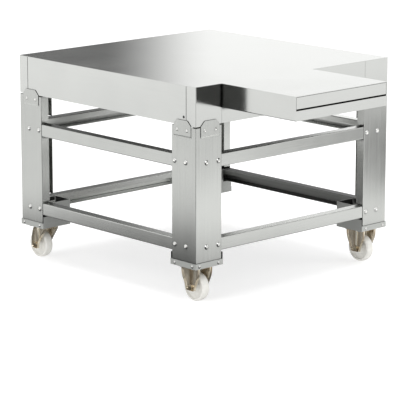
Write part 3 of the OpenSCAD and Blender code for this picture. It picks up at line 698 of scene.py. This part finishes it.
def emitter(name, place, size, power):
    """A soft light that looks at the table."""
    light = bpy.data.lights.new(name, "AREA")
    light.shape = "RECTANGLE"
    light.size, light.size_y = size
    light.energy = power
    lamp = bpy.data.objects.new(name, light)
    lamp.location = place
    lamp.rotation_euler = (lamps_aim - Vector(place)).to_track_quat("-Z", "Y").to_euler()
    lamp.visible_glossy = False
    scene.collection.objects.link(lamp)


def staged(name, shape, material):
    mesh = bpy.data.meshes.new(name)
    shape.to_mesh(mesh)
    shape.free()
    mesh.materials.append(material)
    made = bpy.data.objects.new(name, mesh)
    scene.collection.objects.link(made)
    return made


def pale_floor():
    shape = bmesh.new()
    bmesh.ops.create_grid(shape, x_segments=2, y_segments=2, size=30)
    material, _, shader = new_material("pale_floor", 0.0, 0.7)
    shader.inputs["Base Color"].default_value = (0.6, 0.6, 0.6, 1)
    shader.inputs["Specular IOR Level"].default_value = 0.1
    shader.inputs["Emission Color"].default_value = (1, 1, 1, 1)
    shader.inputs["Emission Strength"].default_value = 0.55
    staged("floor", shape, material).visible_glossy = False


def reflected_card(name, shape, brightness):
    """A glowing surface that only reflections see. Its brightness is a function of the place on it."""
    material = bpy.data.materials.new(name)
    material.use_nodes = True
    tree = material.node_tree
    tree.nodes.clear()
    emission = tree.nodes.new("ShaderNodeEmission")
    output = tree.nodes.new("ShaderNodeOutputMaterial")
    tree.links.new(emission.outputs["Emission"], output.inputs["Surface"])
    tree.links.new(brightness(tree, object_place(tree)), emission.inputs["Strength"])
    card = staged(name, shape, material)
    card.visible_camera = False
    card.visible_diffuse = False
    card.visible_shadow = False
    card.visible_transmission = False
    card.visible_volume_scatter = False


# Brightness of the reflected ground as (distance from the table's middle, brightness), low near the table
# where the table's shadow is painted in
left_ground = [(0, 0.05), (0.8, 0.09), (0.95, 0.18), (1.05, 0.25), (1.15, 0.34), (1.3, 0.50), (1.4, 0.68),
               (1.54, 0.87), (1.67, 0.96), (1.8, 1.0), (2.2, 0.98), (2.6, 0.92), (3.0, 0.88), (3.5, 0.90),
               (6.0, 1.0)]
right_ground = [(0, 0.18), (0.42, 0.28), (0.6, 0.36), (0.8, 0.52), (0.95, 0.76), (1.1, 0.86), (1.22, 1.0),
                (1.36, 1.12), (1.5, 1.24), (1.7, 1.3), (1.87, 1.22), (2.03, 1.06), (2.2, 0.93), (2.34, 0.86),
                (2.7, 0.83), (3.0, 0.88), (6.0, 1.0)]
brightest_ground = 1.3


def brightness_curve(tree, value, stops):
    """A brightness that changes evenly from each stop to the next."""
    reach = stops[-1][0]
    ramp = tree.nodes.new("ShaderNodeValToRGB")
    elements = ramp.color_ramp.elements
    while len(elements) < len(stops):
        elements.new(0.5)
    for element, (distance, level) in zip(elements, stops):
        element.position = distance / reach
        element.color = (level / brightest_ground,) * 3 + (1,)
    tree.links.new(math_node(tree, "DIVIDE", value, reach), ramp.inputs["Fac"])
    return math_node(tree, "MULTIPLY", ramp.outputs["Color"], brightest_ground)


def ground_brightness(tree, place):
    """Dark near the table, where the table's shadow is painted, and by the camera; pale further out, with a
    darker streak on the right.
    """
    place = vector_node(tree, "SUBTRACT", place, (0, middle_y, 0))["Vector"]
    distance = vector_node(tree, "LENGTH", place)["Value"]
    outward = along(tree, place, rightward)
    across = along(tree, place, away)
    left = brightness_curve(tree, distance, left_ground)
    right = brightness_curve(tree, distance, right_ground)
    ground = mixed(tree, eased(tree, outward, -0.5, 0.3), left, right)
    streak = 0.73
    for value, start, end in ((outward, 1.2, 2.6), (outward, 4.4, 2.9), (across, -0.65, 0.0),
                              (across, 0.55, 0.15)):
        streak = math_node(tree, "MULTIPLY", eased(tree, value, start, end), streak)
    ground = math_node(tree, "MULTIPLY", ground, math_node(tree, "SUBTRACT", 1.0, streak))
    direction = vector_node(tree, "NORMALIZE", place)["Vector"]
    return mixed(tree, eased(tree, along(tree, direction, to_camera), 0.93, 0.98), ground, 0.04)


def dome_brightness(tree, place):
    """Pale all round, darker behind the camera and behind the table, with one bright softbox."""
    direction = vector_node(tree, "NORMALIZE", place)["Vector"]
    level = mixed(tree, eased(tree, along(tree, direction, to_camera), 0.55, 0.90), 0.92, 0.45)
    level = mixed(tree, eased(tree, along(tree, direction, away), 0.55, 0.95), level, 0.42)
    level = mixed(tree, eased(tree, along(tree, direction, up), 0.25, 0.8), level, 0.85)
    to_softbox = Vector((-0.50, -0.53, 0.69)).normalized()
    softbox = eased(tree, along(tree, direction, to_softbox), 0.95, 0.98)
    return math_node(tree, "ADD", level, math_node(tree, "MULTIPLY", softbox, 3.5))


def wall_brightness(tree, place):
    """What the rails' flanges see behind the table: pale on the right, darker on the left and below."""
    level = mixed(tree, eased(tree, along(tree, place, rightward), -0.55, -0.05), 0.16, 1.15)
    return mixed(tree, eased(tree, along(tree, place, up), 0.43, 0.55), 0.10, level)


def add_reflections():
    ground = bmesh.new()
    bmesh.ops.create_circle(ground, cap_ends=True, segments=64, radius=13.5)
    bmesh.ops.translate(ground, vec=(0, 0, 0.0015), verts=ground.verts)
    reflected_card("reflected_ground", ground, ground_brightness)
    dome = bmesh.new()
    bmesh.ops.create_uvsphere(dome, u_segments=48, v_segments=24, radius=13)
    reflected_card("reflected_dome", dome, dome_brightness)
    wall = bmesh.new()
    bmesh.ops.create_grid(wall, x_segments=1, y_segments=1, size=1)
    bmesh.ops.scale(wall, vec=(1.5, 0.55, 1), verts=wall.verts)
    behind = Vector(away).normalized()
    placed(wall, facing(Vector((0, middle_y, 0.90)) + behind * 1.3, -behind))
    reflected_card("reflected_wall", wall, wall_brightness)


def add_studio():
    pale_floor()
    add_reflections()
    world = bpy.data.worlds.new("studio")
    world.use_nodes = True
    world.node_tree.nodes["Background"].inputs["Color"].default_value = (1, 1, 1, 1)
    world.node_tree.nodes["Background"].inputs["Strength"].default_value = 1.0
    scene.world = world
    emitter("top_softbox", (-0.4, -0.6, 4.2), (4.0, 4.0), 90)
    emitter("front_right_softbox", (3.4, -3.6, 1.8), (2.4, 2.4), 45)
    emitter("left_softbox", (-4.2, 0.2, 2.2), (2.0, 2.4), 25)
    scene.view_settings.view_transform = "Standard"


finish_nodes()
add_screws()
add_wheels()
add_castors()
add_camera()
add_studio()
